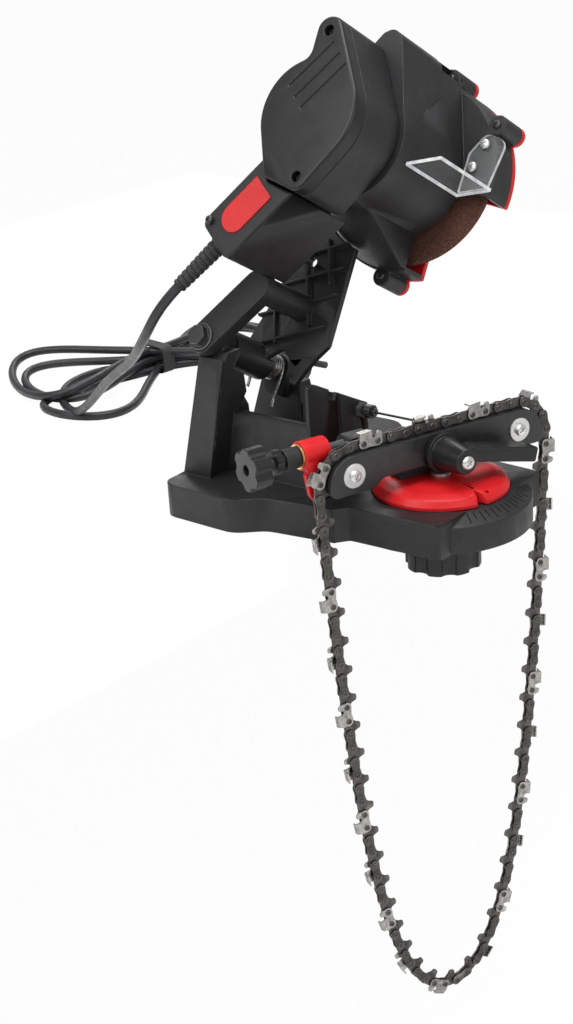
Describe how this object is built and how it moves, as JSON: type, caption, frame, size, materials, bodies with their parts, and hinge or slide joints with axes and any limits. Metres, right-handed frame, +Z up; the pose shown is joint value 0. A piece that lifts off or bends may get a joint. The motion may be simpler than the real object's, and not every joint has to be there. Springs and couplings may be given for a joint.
{
  "type": "chainsaw chain sharpener",
  "caption": "Electric bench sharpener for saw chain: tilted grinder head with guard and shield on a hinge, swivelling chain vise with stop, and a saw chain clamped in its rail",
  "frame": {"origin": "middle of the two bench bolt holes on the underside of the base, on the bench top", "axes": "+Z up; +X towards the turntable end that overhangs the bench; +Y towards the grinding wheel side"},
  "size_m": [0.5117, 0.3762, 0.6147],
  "materials": {
    "black_plastic": "fine textured black moulded plastic",
    "red_plastic": "bright red moulded plastic",
    "black_steel": "black coated steel",
    "zinc_steel": "bright zinc plated steel",
    "dark_steel": "oiled dark steel",
    "cutter_chrome": "chrome plated cutting links",
    "brass_washer": "plain brass",
    "wheel_grit": "bonded brown abrasive",
    "clear_plastic": "clear shield plastic",
    "black_rubber": "soft black rubber",
    "black_cord": "satin black cord sheath"
  },
  "bodies": {
    "base": {"base_housing": "black_plastic", "hinge_bolt": "black_steel", "hinge_nut": "black_steel", "return_spring": "zinc_steel", "cable_adjuster": "black_steel", "cable_lock_nut": "black_steel", "clamp_cable": "dark_steel", "cord_lead": "black_cord", "cord_hank": "black_cord", "cord_tie": "black_rubber", "mains_plug": "black_rubber"},
    "lock_knob": {"angle_lock_knob": "black_plastic"},
    "turntable": {"turntable_disc": "red_plastic", "pivot_bolt": "zinc_steel", "vise_block": "black_plastic", "rail_front_plate": "black_steel", "rail_rear_plate": "black_steel", "rail_spacer": "dark_steel", "rail_screws": "zinc_steel", "stop_bracket": "black_plastic", "drive_links": "dark_steel", "cutters_near": "cutter_chrome", "cutters_far": "cutter_chrome", "tie_straps": "dark_steel", "chain_rivets": "dark_steel"},
    "lever": {"clamp_lever": "black_plastic", "lever_screw": "zinc_steel"},
    "stop_carriage": {"stop_sleeve": "black_plastic", "stop_washer": "brass_washer"},
    "stop_screw": {"stop_rod": "black_steel", "stop_knob": "black_plastic"},
    "stop_nut": {"stop_lock_nut": "black_plastic"},
    "stop_flap": {"chain_stop": "red_plastic"},
    "head": {"arm_bar": "black_plastic", "arm_web": "black_plastic", "motor_housing": "black_plastic", "motor_end_cap": "black_plastic", "cap_screws": "black_steel", "handle_housing": "black_plastic", "label_plate": "red_plastic", "handle_screw": "black_steel", "guard_housing": "black_plastic", "wheel_cover": "red_plastic", "guard_screws": "zinc_steel", "eye_shield": "clear_plastic", "shield_screws": "zinc_steel", "strain_relief": "black_rubber"},
    "spindle": {"spindle_shaft": "zinc_steel", "inner_flange": "black_steel", "grinding_wheel": "wheel_grit", "outer_flange": "black_steel", "spindle_nut": "zinc_steel"},
    "rocker": {"switch_rocker": "black_plastic"}
  },
  "joints": [
    {"name": "lock_knob_turn", "type": "hinge", "parent": "base", "child": "lock_knob", "pos_m": [0.048, 0, -0.018], "axis": [0, 0, 1], "range_deg": [-360, 360]},
    {"name": "turntable_turn", "type": "hinge", "parent": "base", "child": "turntable", "pos_m": [0.048, 0, 0.025], "axis": [0, 0, 1], "range_deg": [-12, 42]},
    {"name": "clamp_lever_turn", "type": "hinge", "parent": "turntable", "child": "lever", "pos_m": [0.06134, -0.00749, 0.045], "axis": [0.9511, -0.309, 0], "range_deg": [0, 30]},
    {"name": "stop_travel", "type": "slide", "parent": "turntable", "child": "stop_carriage", "axis": [0.309, 0.9511, 0], "range_m": [-0.004, 0.004]},
    {"name": "stop_screw_turn", "type": "hinge", "parent": "stop_carriage", "child": "stop_screw", "pos_m": [0.00069, -0.10029, 0.057], "axis": [0.309, 0.9511, 0], "range_deg": [-1800, 1800]},
    {"name": "stop_nut_turn", "type": "hinge", "parent": "stop_carriage", "child": "stop_nut", "pos_m": [0.00316, -0.09268, 0.057], "axis": [0.309, 0.9511, 0], "range_deg": [-360, 360]},
    {"name": "stop_flip", "type": "hinge", "parent": "stop_carriage", "child": "stop_flap", "pos_m": [0.0112, -0.06795, 0.057], "axis": [0.309, 0.9511, 0], "range_deg": [0, 90]},
    {"name": "head_lower", "type": "hinge", "parent": "base", "child": "head", "pos_m": [-0.078, -0.02812, 0.09129], "axis": [0, 0.866, -0.5], "range_deg": [0, 45], "stiffness_Nm_per_rad": 4, "springref_deg": -34.38, "deforming": ["cord_lead", "return_spring"]},
    {"name": "spindle_turn", "type": "hinge", "parent": "head", "child": "spindle", "pos_m": [-0.0113, 0.06831, 0.18151], "axis": [0, 0.866, -0.5], "continuous": true},
    {"name": "switch_rock", "type": "hinge", "parent": "head", "child": "rocker", "pos_m": [-0.05097, -0.0299, 0.18022], "axis": [0, -0.866, 0.5], "range_deg": [0, 12]}
  ],
  "couplings": [
    {"joint": "stop_screw_turn", "follows": "stop_travel", "rad_per_m": 7854}
  ]
}
